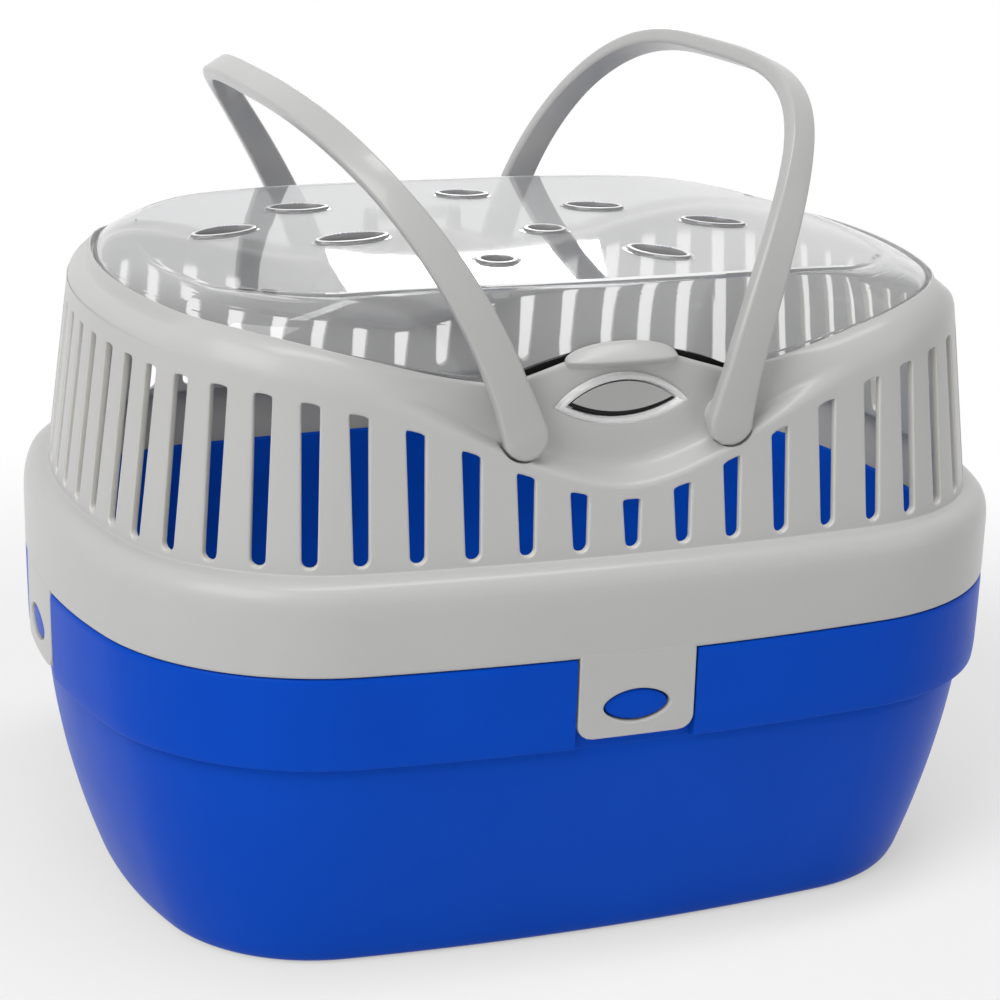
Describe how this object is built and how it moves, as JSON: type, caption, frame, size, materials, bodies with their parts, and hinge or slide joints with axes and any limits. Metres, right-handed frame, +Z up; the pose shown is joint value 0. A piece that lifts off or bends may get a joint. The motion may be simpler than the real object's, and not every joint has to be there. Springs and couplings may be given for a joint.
{
  "type": "small pet carrier",
  "caption": "Small-pet carrier: deep tub, slatted cage that snaps on, clear hinged lid with push latch, and two swing handles.",
  "frame": {"origin": "centre of the flat bottom of the tub", "axes": "+X along the long side to the viewer's right, -Y to the front with the latch, +Z up"},
  "size_m": [0.3, 0.23, 0.2556],
  "materials": {
    "tub_plastic": "satin-gloss moulded blue plastic",
    "cage_plastic": "glossy light warm grey moulded plastic",
    "handle_plastic": "satin light grey moulded plastic",
    "clear_plastic": "clear polished plastic",
    "button_plastic": "satin grey moulded plastic",
    "bezel_plastic": "clear polished plastic rim"
  },
  "bodies": {
    "tub": {"tub": "tub_plastic"},
    "cage": {"cage": "cage_plastic", "snap_tab_front": "cage_plastic", "snap_tab_rear": "cage_plastic", "snap_tab_left": "cage_plastic", "snap_tab_right": "cage_plastic", "latch_bezel": "bezel_plastic", "latch_spring": "button_plastic"},
    "lid": {"lid": "clear_plastic"},
    "handle_left": {"handle_left": "handle_plastic"},
    "handle_right": {"handle_right": "handle_plastic"},
    "latch_button": {"latch_button": "button_plastic"}
  },
  "joints": [
    {"name": "cage_lift", "type": "slide", "parent": "tub", "child": "cage", "axis": [0, 0, 1], "range_m": [0, 0.06], "deforming": ["snap_tab_front", "snap_tab_rear", "snap_tab_left", "snap_tab_right"]},
    {"name": "lid_hinge", "type": "hinge", "parent": "cage", "child": "lid", "pos_m": [0, 0.094, 0.184], "axis": [-1, 0, 0], "range_deg": [0, 9.5]},
    {"name": "handle_left_swing", "type": "hinge", "parent": "cage", "child": "handle_left", "pos_m": [-0.0314, 0, 0.1608], "axis": [0, 1, 0], "range_deg": [-35, 45]},
    {"name": "handle_right_swing", "type": "hinge", "parent": "cage", "child": "handle_right", "pos_m": [0.0314, 0, 0.1608], "axis": [0, -1, 0], "range_deg": [-43, 37]},
    {"name": "latch_press", "type": "slide", "parent": "cage", "child": "latch_button", "axis": [0, 1, 0], "range_m": [0, 0.0025], "stiffness_N_per_m": 400, "springref_m": -0.001, "deforming": ["latch_spring"]}
  ]
}
